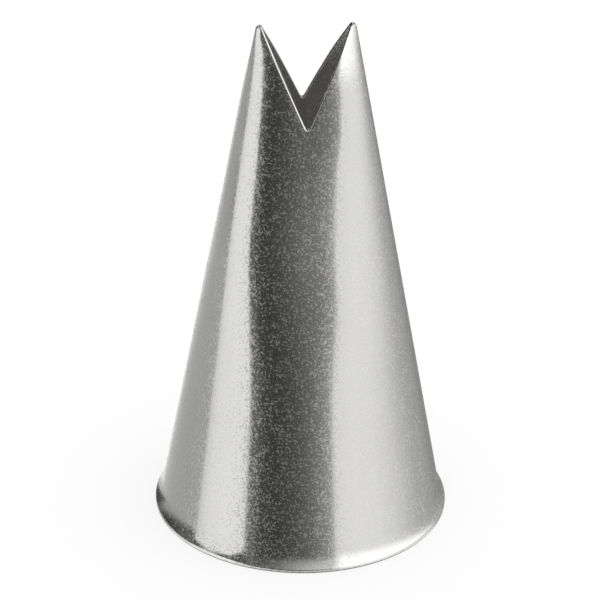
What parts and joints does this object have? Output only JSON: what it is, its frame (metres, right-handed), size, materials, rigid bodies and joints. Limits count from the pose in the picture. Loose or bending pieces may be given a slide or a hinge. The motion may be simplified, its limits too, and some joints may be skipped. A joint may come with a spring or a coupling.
{
  "type": "piping nozzle",
  "caption": "Tall conical icing nozzle of sheet steel with a flared rim and a pressed mouth cut into a V for leaf shapes.",
  "frame": {"origin": "centre of the round rim, on the plane that the rim stands on", "axes": "+Z along the nozzle's axis towards the mouth; the two prongs lie on +X and -X, the V opens to the front (-Y) and the back (+Y), and the seam runs down the back (+Y)"},
  "size_m": [0.0176, 0.0176, 0.0318],
  "materials": {
    "steel": "satin stainless steel with a fine pebbled grain",
    "weld": "fine rippled weld, wiped clean and slightly warmer than the sheet"
  },
  "bodies": {
    "root": {"nozzle_shell": "steel", "seam_weld": "weld"}
  },
  "joints": []
}
